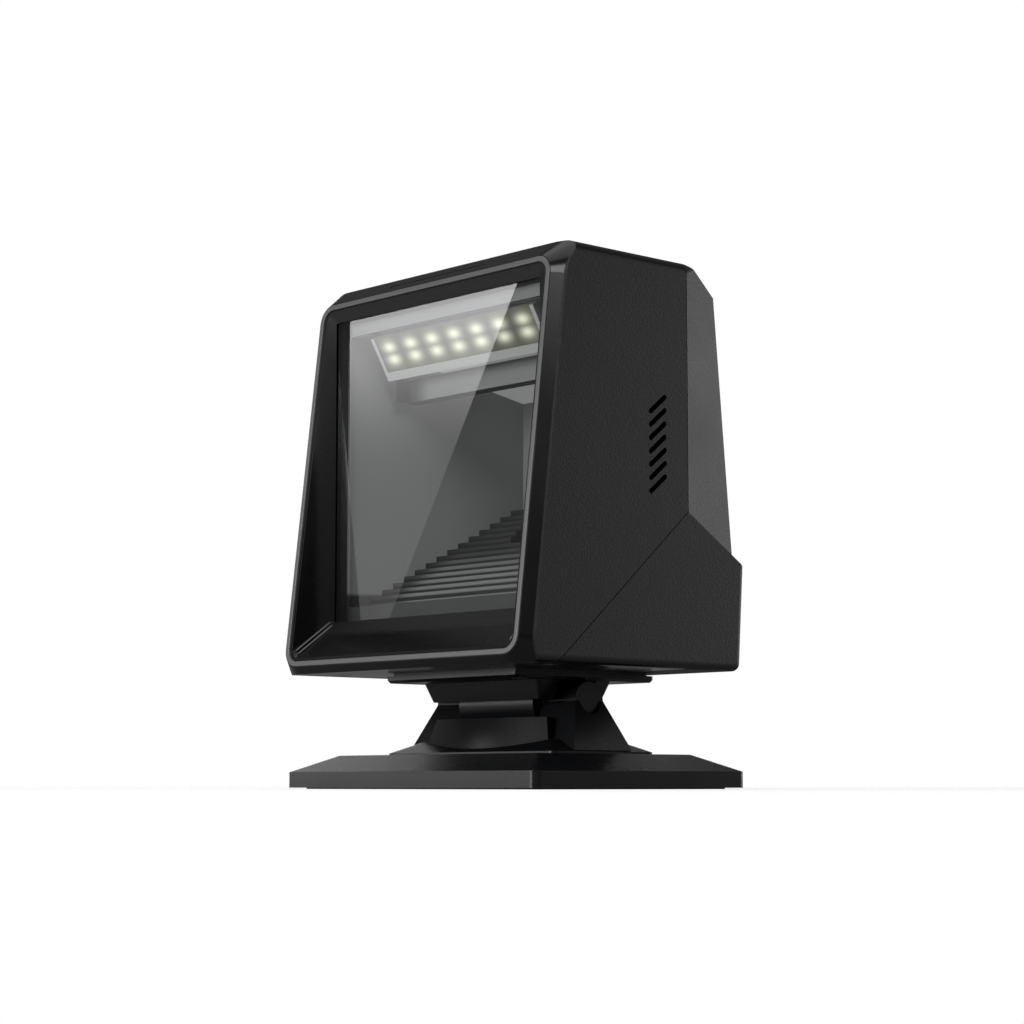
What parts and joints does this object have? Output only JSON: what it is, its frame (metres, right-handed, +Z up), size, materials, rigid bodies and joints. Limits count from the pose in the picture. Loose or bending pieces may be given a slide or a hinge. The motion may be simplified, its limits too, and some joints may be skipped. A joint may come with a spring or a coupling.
{
  "type": "presentation barcode scanner",
  "caption": "Desk-top hands-free barcode scanner: a leaning windowed head with an angled lamp and camera inside, on a weighted stand that lets it tilt.",
  "frame": {"origin": "centre of the stand's underside, where the rubber pad rests on the counter", "axes": "+Z up; the window faces -Y, towards the shopper; +X is to the right of someone who looks along +Y, and lies along the tilt axis"},
  "size_m": [0.12, 0.0957, 0.166],
  "materials": {
    "housing_black": "fine moulded spark texture, black",
    "stand_black": "satin black moulding",
    "trim_grey": "satin grey trim ring",
    "bezel_black": "gloss black",
    "clear_glass": "polished flat glass",
    "tape_black": "foam tape",
    "tunnel_grey": "smooth satin dark grey",
    "baffle_black": "matt black",
    "lamp_frost": "frosted diffuser",
    "lamp_board": "white solder mask on aluminium",
    "led_warm": "warm white emitter",
    "lens_glass": "coated lens",
    "sensor_dark": "silicon under glass",
    "board_green": "green solder mask",
    "flex_amber": "polyimide film",
    "shield_metal": "tinned can",
    "socket_black": "black moulding",
    "contact_gold": "gold-plated spring wire",
    "steel": "zinc-plated steel",
    "bush_nylon": "natural nylon",
    "pad_rubber": "matt black rubber",
    "status_smoke": "smoked translucent light pipe"
  },
  "bodies": {
    "base": {"base_plate": "stand_black", "base_weight": "steel", "weight_screws": "steel", "pedestal": "stand_black", "pedestal_screws": "steel", "non_slip_pad": "pad_rubber", "hinge_pin": "steel", "hinge_nut": "steel", "hinge_caps": "stand_black", "friction_washers": "steel"},
    "head": {"front_shell": "housing_black", "rear_shell": "housing_black", "shell_screws": "steel", "rim_trim": "trim_grey", "front_bezel": "bezel_black", "window_tape": "tape_black", "window_glass": "clear_glass", "window_seal": "tape_black", "optics_tunnel": "tunnel_grey", "lamp_housing": "tunnel_grey", "led_diffuser": "lamp_frost", "led_board": "lamp_board", "leds": "led_warm", "light_shade": "tunnel_grey", "stepped_baffle": "baffle_black", "lens_holder": "baffle_black", "lens_barrel": "baffle_black", "imager_lens": "lens_glass", "imager_sensor": "sensor_dark", "imager_board": "board_green", "imager_flex": "flex_amber", "main_board": "board_green", "board_screws": "steel", "processor_shield": "shield_metal", "interface_socket": "socket_black", "socket_contacts": "contact_gold", "speaker": "socket_black", "speaker_bracket": "steel", "speaker_screws": "steel", "status_light_pipe": "status_smoke", "status_led_board": "board_green", "mount_plate": "stand_black", "mount_screws": "steel", "tilt_bracket": "stand_black", "bracket_screws": "steel", "hinge_bushes": "bush_nylon"}
  },
  "joints": [
    {"name": "head_tilt", "type": "hinge", "parent": "base", "child": "head", "pos_m": [0, 0.0027, 0.0275], "axis": [1, 0, 0], "range_deg": [-20, 15]}
  ]
}
